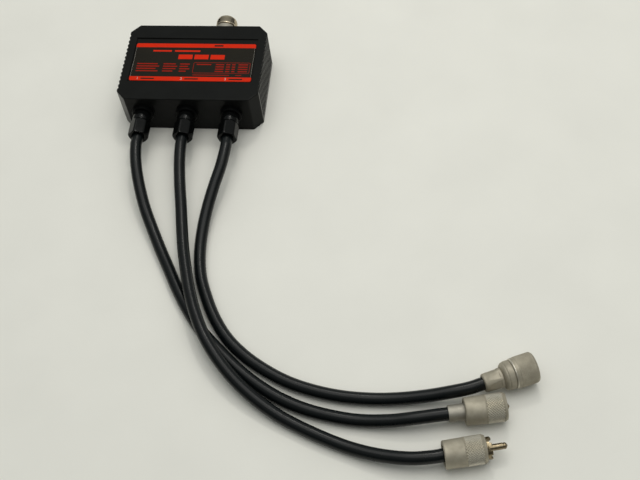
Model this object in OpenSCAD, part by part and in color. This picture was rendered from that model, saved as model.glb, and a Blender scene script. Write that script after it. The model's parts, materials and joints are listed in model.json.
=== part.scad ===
// Triplexer: a black filter box with one antenna socket at the back and three fixed coaxial
// leads at the front. Two leads end in screw-ring plugs and the third in an N plug.
// Millimetres. X runs to the right, Y away from the leads, Z up. The origin is the centre
// of the case's underside, and the table is the plane z = 0.

/* [Case] */
// Width of the case, side to side
case_w = 104; // [98:1:120]
// Depth of the case, from the lead wall to the socket wall
case_d = 72; // [68:1:84]
// Height of the case, from the table to the lid face
case_h = 33; // [32:1:42]
// Length of each cut corner along the front and back walls
corner_x = 6.5; // [4:0.5:8]
// Length of each cut corner along the side walls
corner_y = 7; // [4:0.5:8]
// Thickness of the side walls
wall = 2.5; // [2:0.1:3]
// Thickness of the top
top_t = 2.8; // [2.4:0.1:3.4]
// Thickness of the base plate
base_t = 2; // [1.8:0.1:2.6]
// Number of grip flutes on each side wall
flute_count = 14; // [8:1:15]
// Distance from flute to flute
flute_pitch = 3.9; // [3.4:0.1:3.9]
// Radius of the round bottom of a flute
flute_r = 1.6; // [1.2:0.1:1.7]
// Depth of a flute
flute_depth = 0.7; // [0.3:0.1:1]
// Height of the plain foot under the flutes
flute_foot = 4; // [3:0.5:8]

/* [Label] */
// Width of the label plate
label_w = 90; // [70:1:92]
// Depth of the label plate, front to back
label_d = 36.2; // [30:0.2:38]
// Thickness of the label plate
label_t = 0.6; // [0.4:0.1:0.8]
// Shift of the label plate from the middle of the top, towards the socket wall
label_y = -0.3; // [-1:0.1:1]
// Depth of the recess that holds the label plate
label_recess = 0.9; // [0.8:0.1:1.2]
// Gap round the label plate at the sides and the front of its recess
label_gap = 0.8; // [0.2:0.1:1]
// Bare strip of the recess behind the label plate
label_strip = 5; // [1:0.1:6]

/* [Glands] */
// Distance from gland to gland
gland_pitch = 32.5; // [30:0.5:34]
// Sideways shift of the middle gland from the centre of the wall
gland_shift = -1.4; // [-2:0.1:2]
// Height of the gland axes over the table
gland_z = 18.5; // [17.5:0.5:20]
// Radius of the round flange against the wall
gland_flange_r = 7.9; // [7.5:0.1:8.4]
// Thickness of the round flange
gland_flange_t = 3.2; // [2:0.1:3.6]
// Width across the flats of the gland nut
gland_nut_af = 13; // [13:0.1:14]
// Distance from the wall to the outer end of the gland nut
gland_len = 23.4; // [23:0.1:27]

/* [Antenna socket] */
// Sideways place of the socket on the back wall
socket_x = 16.4; // [-20:0.1:20]
// Outer radius of the threaded barrel
socket_r = 7.94; // [7.9:0.02:8]
// Distance from the wall to the mouth of the barrel
socket_len = 18.2; // [17:0.1:20]
// Width across the flats of the socket flange
socket_af = 19; // [18:0.5:20]

/* [Cables] */
// Outer diameter of a cable
cable_d = 8.2; // [7.8:0.1:8.2]

/* [Screw-ring plugs] */
// Outer diameter of the screw ring
ring_d = 17.8; // [17.6:0.1:18.2]
// Length of the screw ring
ring_len = 25.2; // [24.6:0.1:26]
// Depth of the threaded front of the ring
ring_thread_len = 10.8; // [10:0.1:11.4]
// Outer radius of the plug body's front flange
plug_flange_r = 6.7; // [6.6:0.1:7]
// Thickness of the plug body's front flange
plug_flange_t = 1.5; // [1.4:0.1:1.8]
// Outer diameter of the plug's shank round the cable
plug_shank_d = 10.4; // [9.6:0.1:10.8]
// Length of the neck on which the ring's inner lip slides
plug_neck_len = 12.5; // [11.6:0.1:12.8]
// Radius of the centre pin
plug_pin_r = 2; // [1.95:0.01:2.02]
// Length of the centre pin in front of the flange
plug_pin_out = 11.5; // [10.5:0.1:12]

/* [N plug] */
// Outer diameter of the coupling nut
n_nut_d = 19.6; // [19.2:0.1:21]
// Length of the coupling nut
n_nut_len = 14.7; // [14.2:0.1:15.6]
// Length of the clamp sleeve behind the body
n_sleeve_len = 12.2; // [11:0.1:13]
// Diameter of the plug body's collar
n_collar_d = 18.2; // [17:0.1:18.6]
// Length of the collar
n_collar_len = 6.1; // [5.4:0.1:6.8]

/* [Filter] */
// Distance from the case's side to the circuit board's edge
board_margin = 10; // [9:0.5:10.5]
// Depth of the circuit board
board_d = 47; // [44:1:48]
// Height of the board's underside over the table
board_z = 7; // [6:0.5:8]
// Height of the screens between the filters
screen_h = 12.5; // [8:0.5:13]
// Thickness of the coil wire
coil_wire_d = 1; // [0.8:0.1:1.2]

/* [Hidden] */
$fn = 64;

// Gap between fixed pieces that slip into each other
slip = 0.1;
// Gap between curved faces that move past each other
run_gap = 0.3;
// Gap left at the end stops of a sliding ring
stop_gap = 0.05;
// Sides of the cable's cross-section
cable_sides = 12;

cable_r = cable_d / 2;
cable_bore = cable_r + slip;

// Case seats
rebate = wall / 2;
boss_r = 3.5;
boss_x = case_w / 2 - 7.5;
boss_y = case_d / 2 - 9;
screw_r = 1.4;
screw_head_r = 2.7;
screw_head_h = 1.3;
screw_len = 12;
post_r = 2.6;
board_w = case_w - 2 * board_margin;
board_t = 1.6;
board_top = board_z + board_t;
post_x = board_w / 2 - 4;
post_y = board_d / 2 - 4;
board_screw_r = 0.9;
board_screw_len = 6;
socket_z = gland_z;

// Gland seats, measured outwards from the wall's outer face
gland_x = [for (i = [-1, 0, 1]) gland_shift + i * gland_pitch];
spigot_r = 6;
spigot_len = wall + 6;
locknut_t = 4;
neck_r = 5.6;
neck_end = 14;
seal_end = 20.5;
nut_start = gland_flange_t + 1;
nut_hex_start = 11.5;
nut_turn = 43;
nut_ac_r = gland_nut_af / sqrt(3);
mouth_r = cable_r + 0.4;
jacket_in = 13;
braid_r = 3.1;
dielectric_r = 2.4;
conductor_r = 0.75;
wire_drop = 19;

// Socket seats, measured outwards from the wall's outer face
socket_flange_t = 3;
socket_lead_in = 2;
socket_shank_r = 6;
socket_shank_len = wall + 6.5;
socket_bore_r = 4.3;
socket_bore_len = 9;
socket_core_r = 3.4;
contact_r = 1.5;

// Screw-ring plug, measured forwards from the rear face of the shank
neck_start = 11.75;
flange_start = neck_start + plug_neck_len;
flange_end = flange_start + plug_flange_t;
plug_len = flange_end + plug_pin_out;
plug_neck_r = 5.8;
collar_r = 6.3;
collar_t = 1.5;
lip_t = 1.5;
cable_seat = 8;
insulator_r = 5;
insulator_start = flange_start - 3;
insulator_end = flange_end - 0.8;
pin_root_r = plug_pin_r - 0.3;
pin_head_r = plug_pin_r + 0.6;
ring_travel = plug_neck_len - lip_t - 2 * stop_gap;
ring_thread_r = 7.5;
ring_plain_len = 0.48 * ring_len;
knurl_proud = 0.25;
ring_rear_round = 1.2;

// N plug, measured forwards from the rear face of the sleeve
n_tip = n_sleeve_len + 3.5;
n_seat = n_tip + 3;
n_bed = n_seat + 2;
n_collar_end = n_sleeve_len + n_collar_len;
n_neck_r = 6.9;
n_nut_start = n_collar_end + 0.5;
n_nut_end = n_nut_start + n_nut_len;
n_lip_t = 1.8;
n_chamber_len = 2.2;
n_neck_end = n_nut_start + 6.9;
n_tube_r = 4.05;
n_tube_end = n_nut_end - 1.5;
n_thread_r = 7.55;
n_screw_r = 5.2;
n_core_r = 3.4;

// Where the plugs lie: x and y of the rear end, height of the axis, heading from +X in degrees
plug_left_at = [190.8, -256.2, ring_d / 2, 10.8];
plug_middle_at = [189.6, -282.1, ring_d / 2, 12.5];
n_plug_at = [211.6, -235.8, n_nut_d / 2, 22.5];

// Free part of each cable's route: x, y, and how far the cable's underside is off the table,
// in cable diameters. The middle cable lies over the left one where they cross.
free_left = [
    [-31.5, -82, 1.55], [-27, -98, 1.1], [-21, -114, 0.62], [-13.5, -129.5, 0.24], [-5.5, -145, 0.05],
    [3, -160.5, 0], [11.5, -176, 0], [21, -191, 0], [31.5, -205, 0], [44, -217.5, 0],
    [57, -229.5, 0], [71, -240, 0], [86.5, -249, 0], [103, -255.5, 0], [120.5, -259.5, 0],
    [138, -261.5, 0.04], [155.5, -261.5, 0.28], [169, -260.2, 0.52]
];
free_middle = [
    [0, -82, 1.6], [2.5, -98, 1.4], [5.5, -114, 1.16], [8.5, -130.5, 1], [12, -147.5, 0.95],
    [16.5, -164.5, 0.96], [21.5, -181, 1], [28, -197.5, 1.05], [36, -213, 1.05], [46, -227, 0.9],
    [57.5, -239.5, 0.64], [71, -250.5, 0.34], [86, -260, 0.1], [101.5, -267.5, 0], [117.5, -274, 0],
    [134, -279.5, 0.04], [151, -283.5, 0.28], [168, -285.2, 0.52]
];
free_right = [
    [29.5, -82, 1.55], [26, -97, 1.1], [23, -113, 0.62], [21.5, -129.5, 0.24], [22, -146.5, 0.05],
    [25, -163.5, 0], [31, -179.5, 0], [39, -195.5, 0], [49, -209.5, 0], [62, -221.5, 0],
    [76.5, -231, 0], [92, -238.5, 0], [109, -243.5, 0], [126, -246.3, 0], [143.5, -247, 0],
    [161, -246.2, 0.1], [178, -244.5, 0.38], [193, -242, 0.66]
];

// Where each coil stands on the board: x, y, inner radius, turns, pitch
coil_list = [
    [[-34, 4, 3.4, 6, 1.9], [-24, 4, 3.4, 6, 1.9]],
    [[-8, 4, 2.6, 4, 2.1], [3, 4, 2.6, 4, 2.1]],
    [[25, 6, 2, 3, 2.3], [34, 6, 2, 3, 2.3]]
];
// Where each capacitor stands on the board: x, y, radius
capacitor_list = [
    [[-34, -9, 3.6], [-25, -9, 3.6]],
    [[-9, -9, 3], [-2, -9, 3], [5, -9, 3]],
    [[24, -9, 2.5], [30, -9, 2.5], [36, -9, 2.5]]
];
screen_x = [-17, 14];

black = "#1c1c1c";
nickel = "#a8a395";
bright = "#c9c6bc";
white = "#efece4";
gold = "#c8a24a";

// Points and routes

function heading(h) = [cos(h), sin(h), 0];

// A point on a plug's axis, a distance forwards from its rear end
function on_plug(at, d) = [at[0], at[1], at[2]] + d * heading(at[3]);

// The whole line of a cable: through the gland, along the table and into the plug
function cable_line(x, free, at, seat) = concat(
    [[x, -case_d / 2 + jacket_in, gland_z],
     [x, -case_d / 2 - gland_len, gland_z],
     [x, -case_d / 2 - gland_len - 8, gland_z]],
    [for (p = free) [p[0], p[1], cable_d * (0.5 + p[2])]],
    [on_plug(at, -9), on_plug(at, -1), on_plug(at, seat)]
);

function unit(v) = v / norm(v);

function tangent(line, i) =
    unit(line[min(i + 1, len(line) - 1)] - line[max(i - 1, 0)]);

// One ring of points round the line, square to its run. The line never runs along the lean.
function ring_points(line, i, r, sides, lean) =
    let (t = tangent(line, i), s = unit(cross(t, lean)), u = cross(s, t))
    [for (k = [0 : sides - 1]) line[i] + r * (cos(360 * k / sides) * s + sin(360 * k / sides) * u)];

// A round cord or wire along a line of points
module tube(line, r, sides, lean = [0, 0, 1]) {
    n = len(line);
    points = [for (i = [0 : n - 1]) each ring_points(line, i, r, sides, lean)];
    skin = [for (i = [0 : n - 2], k = [0 : sides - 1])
        let (a = i * sides + k, b = i * sides + (k + 1) % sides)
        each [[a, b + sides, b], [a, a + sides, b + sides]]];
    first = [for (k = [0 : sides - 1]) k];
    last = [for (k = [sides - 1 : -1 : 0]) (n - 1) * sides + k];
    polyhedron(points, concat(skin, [first], [last]));
}

// Outline of the case seen from above, drawn in by a distance on every side
module plan(inset) {
    a = case_w / 2 - inset;
    b = case_d / 2 - inset;
    trim = corner_x + corner_y - norm([corner_x, corner_y]);
    cx = corner_x - inset * trim / corner_y;
    cy = corner_y - inset * trim / corner_x;
    polygon([
        [a, -b + cy], [a, b - cy], [a - cx, b], [-a + cx, b],
        [-a, b - cy], [-a, -b + cy], [-a + cx, -b], [a - cx, -b]
    ]);
}

// A turned piece from its half section, given as [radius, height] points
module turned(section) {
    rotate_extrude() polygon(section);
}

// A washer or tube from one height to another
module tube_ring(r_out, r_in, z0, z1) {
    turned([[r_in, z0], [r_out, z0], [r_out, z1], [r_in, z1]]);
}

module at_corners(x, y) {
    for (sx = [-1, 1], sy = [-1, 1]) translate([sx * x, sy * y, 0]) children();
}

// Places a piece on the lead wall, its own +Z pointing out of the wall
module at_gland(i) {
    translate([gland_x[i], -case_d / 2, gland_z]) rotate([90, 0, 0]) children();
}

// Places a piece on the socket wall, its own +Z pointing out of the wall
module at_socket() {
    translate([socket_x, case_d / 2, socket_z]) rotate([-90, 0, 0]) children();
}

// Places a piece on a plug's axis, its own +Z pointing forwards from the plug's rear end
module at_plug(at) {
    translate([at[0], at[1], at[2]]) rotate([0, 0, at[3]]) rotate([0, 90, 0]) children();
}

// Case

module flutes() {
    first = -(flute_count - 1) / 2;
    for (side = [-1, 1], i = [0 : flute_count - 1])
        translate([side * (case_w / 2 + flute_r - flute_depth), (first + i) * flute_pitch, flute_foot])
            cylinder(r = flute_r, h = case_h);
}

module case_shell() {
    inner_top = case_h - top_t;
    color(black) difference() {
        union() {
            difference() {
                linear_extrude(case_h) plan(0);
                translate([0, 0, -1]) linear_extrude(inner_top + 1) plan(wall);
            }
            at_corners(boss_x, boss_y) translate([0, 0, base_t])
                cylinder(r = boss_r, h = inner_top - base_t + 1);
        }
        translate([0, 0, -1]) linear_extrude(base_t + 1) plan(rebate);
        at_corners(boss_x, boss_y) translate([0, 0, base_t - 1])
            cylinder(r = screw_r + slip, h = screw_len);
        flutes();
        translate([-label_w / 2 - label_gap, label_y - label_d / 2 - label_gap, case_h - label_recess])
            cube([label_w + 2 * label_gap, label_d + label_gap + label_strip, 2]);
        for (i = [0 : 2]) at_gland(i) translate([0, 0, -wall - 1])
            cylinder(r = spigot_r + slip, h = wall + 2);
        at_socket() translate([0, 0, -wall - 1]) cylinder(r = socket_shank_r + slip, h = wall + 2);
    }
}

module base_plate() {
    color(black) difference() {
        union() {
            linear_extrude(base_t) plan(rebate + slip);
            at_corners(post_x, post_y) translate([0, 0, base_t / 2])
                cylinder(r = post_r, h = board_z - base_t / 2);
        }
        at_corners(boss_x, boss_y) {
            translate([0, 0, -1]) cylinder(r = screw_r + slip, h = base_t + 2);
            cylinder(r1 = screw_head_r, r2 = screw_r, h = screw_head_h);
        }
        at_corners(post_x, post_y) translate([0, 0, base_t])
            cylinder(r = board_screw_r + slip, h = board_z);
    }
}

module base_screws() {
    color("#3a3a3a") at_corners(boss_x, boss_y) difference() {
        union() {
            cylinder(r1 = screw_head_r, r2 = screw_r, h = screw_head_h);
            cylinder(r = screw_r, h = screw_len - 2);
        }
        for (a = [0, 90]) rotate(a) translate([-1.5, -0.3, -1]) cube([3, 0.6, 1.7]);
    }
}

module label_plate() {
    color("#c8290c") translate([-label_w / 2, label_y - label_d / 2, case_h - label_recess])
        cube([label_w, label_d, label_t]);
}

// Antenna socket

module socket_body() {
    color(bright) at_socket() difference() {
        union() {
            translate([0, 0, -socket_shank_len]) cylinder(r = socket_shank_r, h = socket_shank_len + 1);
            cylinder(r = socket_af / sqrt(3), h = socket_flange_t, $fn = 6);
            turned([
                [0, 0], [socket_r, 0], [socket_r, socket_len - socket_lead_in],
                [socket_r - 0.5, socket_len - 0.8], [socket_r - 1.3, socket_len], [0, socket_len]
            ]);
        }
        translate([0, 0, socket_len - socket_bore_len]) cylinder(r = socket_bore_r, h = socket_bore_len + 1);
        translate([0, 0, -socket_shank_len - 1])
            cylinder(r = socket_core_r, h = socket_len + socket_shank_len);
    }
}

module socket_insulator() {
    color(white) at_socket()
        tube_ring(socket_core_r, contact_r, -socket_shank_len, socket_len - socket_bore_len - 1);
}

module socket_contact() {
    color(gold) at_socket() difference() {
        union() {
            translate([0, 0, -socket_shank_len - 3])
                cylinder(r = contact_r, h = socket_shank_len + socket_len - 2);
            translate([0, 0, -socket_shank_len - 3]) cylinder(r = contact_r + 0.6, h = 3);
        }
        translate([0, 0, socket_len - 12]) cylinder(r = 0.85, h = 12);
        for (a = [0, 90]) rotate(a) translate([-2, -0.15, socket_len - 9]) cube([4, 0.3, 9]);
    }
}

module socket_washer() {
    color(bright) at_socket() tube_ring(socket_shank_r + 3, socket_shank_r + slip, -wall - 0.8, -wall);
}

module socket_nut() {
    color(bright) at_socket() translate([0, 0, -wall - 0.8 - 3]) difference() {
        cylinder(r = socket_shank_r + 3.6, h = 3, $fn = 6);
        translate([0, 0, -1]) cylinder(r = socket_shank_r + slip, h = 5);
    }
}

// Cable glands

module gland_body(i) {
    color(black) at_gland(i) turned([
        [cable_bore, -spigot_len], [spigot_r, -spigot_len], [spigot_r, 0],
        [gland_flange_r, 0], [gland_flange_r, gland_flange_t - 0.6], [gland_flange_r - 0.6, gland_flange_t],
        [neck_r, gland_flange_t], [neck_r, neck_end], [cable_bore, neck_end]
    ]);
}

module gland_nut(i) {
    color(black) at_gland(i) difference() {
        union() {
            turned([
                [0, nut_start], [neck_r + 0.7, nut_start], [gland_nut_af / 2, nut_hex_start - 1],
                [gland_nut_af / 2, nut_hex_start + 1], [0, nut_hex_start + 1]
            ]);
            intersection() {
                translate([0, 0, nut_hex_start - 2]) rotate(nut_turn)
                    cylinder(r = nut_ac_r, h = gland_len - nut_hex_start + 2, $fn = 6);
                turned([
                    [0, nut_hex_start - 1.2], [gland_nut_af / 2, nut_hex_start - 1.2],
                    [nut_ac_r + 0.1, nut_hex_start + 0.6], [nut_ac_r + 0.1, gland_len - 0.8],
                    [gland_nut_af / 2 - 0.1, gland_len], [0, gland_len]
                ]);
            }
        }
        translate([0, 0, nut_start - 1]) cylinder(r = neck_r + slip, h = seal_end - nut_start + 1);
        translate([0, 0, seal_end - 1]) cylinder(r = mouth_r, h = gland_len);
    }
}

module gland_seals() {
    color("#2a2a2a") for (i = [0 : 2]) at_gland(i) tube_ring(neck_r, cable_r + 0.02, neck_end, seal_end);
}

module gland_locknuts() {
    color(black) for (i = [0 : 2]) at_gland(i) translate([0, 0, -wall - locknut_t]) difference() {
        cylinder(r = spigot_r + 3, h = locknut_t, $fn = 6);
        translate([0, 0, -1]) cylinder(r = spigot_r + slip, h = locknut_t + 2);
    }
}

// Cables

module cable(i, free, at, seat) {
    color("#161718") tube(cable_line(gland_x[i], free, at, seat), cable_r, cable_sides);
}

// The stripped end inside the case: braid, dielectric and the wire down to the board
module core_in_case(i) {
    at_gland(i) {
        translate([0, 0, -jacket_in - 2.6]) cylinder(r = braid_r, h = 2.6);
        translate([0, 0, -jacket_in - 4.6]) cylinder(r = dielectric_r, h = 3);
        translate([0, 0, -wire_drop]) cylinder(r = conductor_r, h = 4);
    }
    translate([gland_x[i], wire_drop - case_d / 2, gland_z]) sphere(r = conductor_r);
    translate([gland_x[i], wire_drop - case_d / 2, board_top])
        cylinder(r = conductor_r, h = gland_z - board_top);
}

// The stripped end inside a plug: dielectric up to the insulator and the wire in the pin
module core_in_plug(at, seat, core_end, wire_end) {
    at_plug(at) {
        translate([0, 0, seat]) cylinder(r = dielectric_r, h = core_end - seat);
        translate([0, 0, seat]) cylinder(r = conductor_r, h = wire_end - seat);
    }
}

module core_left() {
    color(white) {
        core_in_case(0);
        core_in_plug(plug_left_at, cable_seat, insulator_start, plug_len - 3);
    }
}

module core_middle() {
    color(white) {
        core_in_case(1);
        core_in_plug(plug_middle_at, cable_seat, insulator_start, plug_len - 3);
    }
}

module core_right() {
    color(white) {
        core_in_case(2);
        core_in_plug(n_plug_at, n_seat, n_bed, n_bed + 2.5);
    }
}

// A ring round the braid with a leg that stands on the board
module braid_clips() {
    color("#b08a3c") for (i = [0 : 2]) difference() {
        union() {
            at_gland(i) translate([0, 0, -jacket_in - 2.4]) cylinder(r = braid_r + 0.8, h = 2);
            translate([gland_x[i] - 1.5, jacket_in + 0.4 - case_d / 2, board_top])
                cube([3, 2, gland_z - board_top]);
        }
        at_gland(i) translate([0, 0, -jacket_in - 3]) cylinder(r = braid_r, h = 4);
    }
}

// Screw-ring plugs

module plug_body(at) {
    color(bright) at_plug(at) difference() {
        turned([
            [cable_bore, 0], [plug_shank_d / 2, 0], [plug_shank_d / 2, neck_start - collar_t],
            [collar_r, neck_start - collar_t], [collar_r, neck_start], [plug_neck_r, neck_start],
            [plug_neck_r, flange_start], [plug_flange_r, flange_start], [plug_flange_r, flange_end - 0.4],
            [plug_flange_r - 0.4, flange_end], [insulator_r, flange_end], [insulator_r, insulator_start],
            [dielectric_r + slip, insulator_start], [dielectric_r + slip, cable_seat], [cable_bore, cable_seat]
        ]);
        for (a = [20, 110]) rotate(a) translate([-9, -1.3, flange_end - 0.9]) cube([18, 2.6, 2]);
    }
}

// The ring is drawn where it stands, a distance forwards of its rear stop
module plug_ring(at, forward) {
    r = ring_d / 2;
    plain_r = r - knurl_proud;
    lip_end = neck_start + stop_gap + lip_t + forward;
    front = lip_end + ring_thread_len;
    rear = front - ring_len;
    lip_r = plug_neck_r + run_gap;
    rear_r = collar_r + run_gap;
    color(nickel) at_plug(at) turned([
        [rear_r + 0.4, rear], [plain_r - 0.9, rear], [plain_r - 0.3, rear + 0.4],
        [plain_r, rear + ring_rear_round],
        [plain_r, rear + ring_plain_len], [r, rear + ring_plain_len + knurl_proud],
        [r, front - 1.2], [r - 0.9, front],
        [ring_thread_r, front], [ring_thread_r, lip_end], [lip_r, lip_end], [lip_r, lip_end - lip_t],
        [rear_r, lip_end - lip_t], [rear_r, rear + 0.4]
    ]);
}

module plug_insulator(at) {
    color("#d8cfae") at_plug(at) turned([
        [pin_head_r, insulator_start], [insulator_r, insulator_start], [insulator_r, insulator_end],
        [pin_root_r, insulator_end], [pin_root_r, insulator_start + 2], [pin_head_r, insulator_start + 2]
    ]);
}

// The pin is thinner inside the insulator, so its full radius starts at the insulator's face
module plug_pin(at) {
    color(bright) at_plug(at) difference() {
        union() {
            translate([0, 0, insulator_start]) cylinder(r = pin_head_r, h = 2);
            translate([0, 0, insulator_start])
                cylinder(r = pin_root_r, h = plug_len - plug_pin_r - insulator_start);
            translate([0, 0, insulator_end])
                cylinder(r = plug_pin_r, h = plug_len - plug_pin_r - insulator_end);
            translate([0, 0, plug_len - plug_pin_r]) sphere(r = plug_pin_r);
        }
        translate([0, 0, insulator_start - 1])
            cylinder(r = conductor_r + slip, h = plug_len - 2 - insulator_start);
    }
}

// N plug

module n_sleeve() {
    color(nickel) at_plug(n_plug_at) difference() {
        turned([
            [cable_bore, 0], [5, 0], [5.6, 0.5], [5.8, 1.1], [6.3, n_sleeve_len - 0.6],
            [6, n_sleeve_len], [n_screw_r, n_sleeve_len], [n_screw_r, n_tip], [cable_bore, n_tip]
        ]);
        for (a = [0 : 60 : 300]) rotate(a) translate([5.75, -5, 3]) cube([3, 10, n_sleeve_len - 5]);
    }
}

module n_body() {
    groove = n_nut_start + n_lip_t + 0.2;
    color(bright) at_plug(n_plug_at) turned([
        [n_screw_r + slip, n_sleeve_len], [n_collar_d / 2 - 2.6, n_sleeve_len],
        [n_collar_d / 2 - 1.4, n_sleeve_len + 0.6], [n_collar_d / 2 - 0.5, n_sleeve_len + 1.8],
        [n_collar_d / 2, n_sleeve_len + 3.6], [n_collar_d / 2, n_collar_end - 0.2],
        [n_collar_d / 2 - 0.2, n_collar_end], [n_neck_r, n_collar_end],
        [n_neck_r, groove], [n_neck_r - 0.8, groove], [n_neck_r - 0.8, groove + 1],
        [n_neck_r, groove + 1], [n_neck_r, n_neck_end], [n_tube_r, n_neck_end],
        [n_tube_r, n_tube_end], [n_core_r, n_tube_end], [n_core_r, n_bed], [n_screw_r + slip, n_bed]
    ]);
}

module n_coupling_nut() {
    r = n_nut_d / 2;
    lip_r = n_neck_r + run_gap;
    chamber_r = 8.2;
    a = n_nut_start;
    b = n_nut_end;
    chamber = a + n_lip_t;
    color(nickel) at_plug(n_plug_at) turned([
        [lip_r, a], [r - 1.2, a], [r - 0.6, a + 0.3], [r - 0.25, a + 0.9], [r - 0.2, a + 2.6],
        [r, a + 2.9], [r, b - 1.4], [r - 0.9, b], [n_thread_r + 0.4, b], [n_thread_r, b - 0.6],
        [n_thread_r, chamber + n_chamber_len],
        [chamber_r, chamber + n_chamber_len], [chamber_r, chamber], [lip_r, chamber]
    ]);
}

// An open spring ring in the body's groove that keeps the nut on
module n_snap_ring() {
    groove = n_nut_start + n_lip_t + 0.2;
    color("#8d8f92") at_plug(n_plug_at) difference() {
        tube_ring(n_neck_r + 0.9, n_neck_r - 0.8, groove + 0.1, groove + 0.9);
        translate([0, -1, groove - 1]) cube([12, 2, 3]);
    }
}

module n_gasket() {
    color("#7a2a22") at_plug(n_plug_at) tube_ring(n_neck_r - 0.4, n_tube_r, n_neck_end, n_neck_end + 1.2);
}

module n_cable_seal() {
    color("#2a2a2a") at_plug(n_plug_at) tube_ring(n_screw_r, cable_r + 0.02, n_tip, n_seat);
}

module n_braid_clamp() {
    color("#b08a3c") at_plug(n_plug_at) tube_ring(n_screw_r, dielectric_r + slip, n_seat, n_bed);
}

module n_insulator() {
    color(white) at_plug(n_plug_at) tube_ring(n_core_r, 1.5, n_bed, n_neck_end);
}

module n_pin() {
    b = n_tube_end - 1;
    color(gold) at_plug(n_plug_at) difference() {
        turned([
            [0, n_bed], [1.5, n_bed], [1.5, n_neck_end], [0.82, n_neck_end],
            [0.82, b - 0.8], [0.3, b], [0, b]
        ]);
        translate([0, 0, n_bed - 1]) cylinder(r = conductor_r + 0.05, h = 4);
    }
}

// Filter inside the case

module filter_board() {
    color("#2f6b3a") difference() {
        translate([-board_w / 2, -board_d / 2, board_z]) cube([board_w, board_d, board_t]);
        at_corners(post_x, post_y) translate([0, 0, board_z - 1])
            cylinder(r = board_screw_r + slip, h = board_t + 2);
    }
}

module board_screws() {
    color(bright) at_corners(post_x, post_y) {
        translate([0, 0, board_top]) cylinder(r = 1.9, h = 1.4);
        translate([0, 0, board_top - board_screw_len + 1])
            cylinder(r = board_screw_r, h = board_screw_len);
    }
}

// A tin wall on the board, with a doorway for the wire that joins two filters
module screen(x) {
    run = board_d - 16;
    color("#b9bcbc") translate([x, 0, board_top]) difference() {
        translate([-0.3, -run / 2, 0]) cube([0.6, run, screen_h]);
        translate([-1, run / 2 - 8, -1]) cube([2, 5, 6]);
    }
}

// Centre line of one coil: a leg, the turns and the other leg
function coil_line(c) =
    let (
        r = c[2] + coil_wire_d / 2,
        half = c[3] * c[4] / 2,
        z = board_top + c[2] + coil_wire_d + 1.2,
        steps = 10
    )
    concat(
        [[c[0] + r, c[1] - half, board_top]],
        [for (k = [0 : c[3] * steps]) let (a = 360 * k / steps)
            [c[0] + r * cos(a), c[1] - half + c[4] * k / steps, z + r * sin(a)]],
        [[c[0] + r, c[1] + half, board_top]]
    );

// The coils' own axes run along Y, so their rings of points lean on it
module coils(i) {
    color("#b5652f") for (c = coil_list[i]) tube(coil_line(c), coil_wire_d / 2, 6, [0, 1, 0]);
}

// A flat disc on two short wires
module capacitors(i) {
    color("#b98a3a") for (c = capacitor_list[i]) translate([c[0], c[1], board_top]) {
        translate([0, 1.1, c[2] + 1.5]) rotate([90, 0, 0]) cylinder(r = c[2], h = 2.2);
        for (s = [-1, 1]) translate([s * c[2] / 2, 0, 0]) cylinder(r = 0.4, h = 2.5);
    }
}

// The wire from the socket's contact down to the board
module antenna_lead() {
    y = case_d / 2 - socket_shank_len - 3;
    drop_y = board_d / 2 - 3;
    color("#b5652f") {
        translate([socket_x, drop_y, socket_z]) rotate([-90, 0, 0])
            cylinder(r = 0.75, h = y - drop_y);
        translate([socket_x, drop_y, socket_z]) sphere(r = 0.75);
        translate([socket_x, drop_y, board_top]) cylinder(r = 0.75, h = socket_z - board_top);
    }
}

case_shell();
base_plate();
base_screws();
label_plate();
socket_body();
socket_insulator();
socket_contact();
socket_washer();
socket_nut();
gland_body(0);  // gland_body_left
gland_body(1);  // gland_body_middle
gland_body(2);  // gland_body_right
gland_nut(0);  // gland_nut_left
gland_nut(1);  // gland_nut_middle
gland_nut(2);  // gland_nut_right
gland_seals();
gland_locknuts();
cable(0, free_left, plug_left_at, cable_seat);  // cable_left
cable(1, free_middle, plug_middle_at, cable_seat);  // cable_middle
cable(2, free_right, n_plug_at, n_seat);  // cable_right
core_left();
core_middle();
core_right();
braid_clips();
plug_body(plug_left_at);  // plug_body_left
plug_ring(plug_left_at, ring_travel);  // plug_ring_left
plug_insulator(plug_left_at);  // plug_insulator_left
plug_pin(plug_left_at);  // plug_pin_left
plug_body(plug_middle_at);  // plug_body_middle
plug_ring(plug_middle_at, 0);  // plug_ring_middle
plug_insulator(plug_middle_at);  // plug_insulator_middle
plug_pin(plug_middle_at);  // plug_pin_middle
n_sleeve();
n_body();
n_coupling_nut();
n_snap_ring();
n_gasket();
n_cable_seal();
n_braid_clamp();
n_insulator();
n_pin();
filter_board();
board_screws();
screen(screen_x[0]);  // screen_left
screen(screen_x[1]);  // screen_right
coils(0);  // coils_left
coils(1);  // coils_middle
coils(2);  // coils_right
capacitors(0);  // capacitors_left
capacitors(1);  // capacitors_middle
capacitors(2);  // capacitors_right
antenna_lead();
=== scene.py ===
"""Triplexer: the finished look of the filter box, its three leads and their plugs.

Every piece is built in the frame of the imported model, in metres, and rides on one of its bodies.
"""

import json
import math

import bmesh
import bpy
from bpy.props import FloatProperty, FloatVectorProperty, PointerProperty
from mathutils import Matrix, Vector


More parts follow.
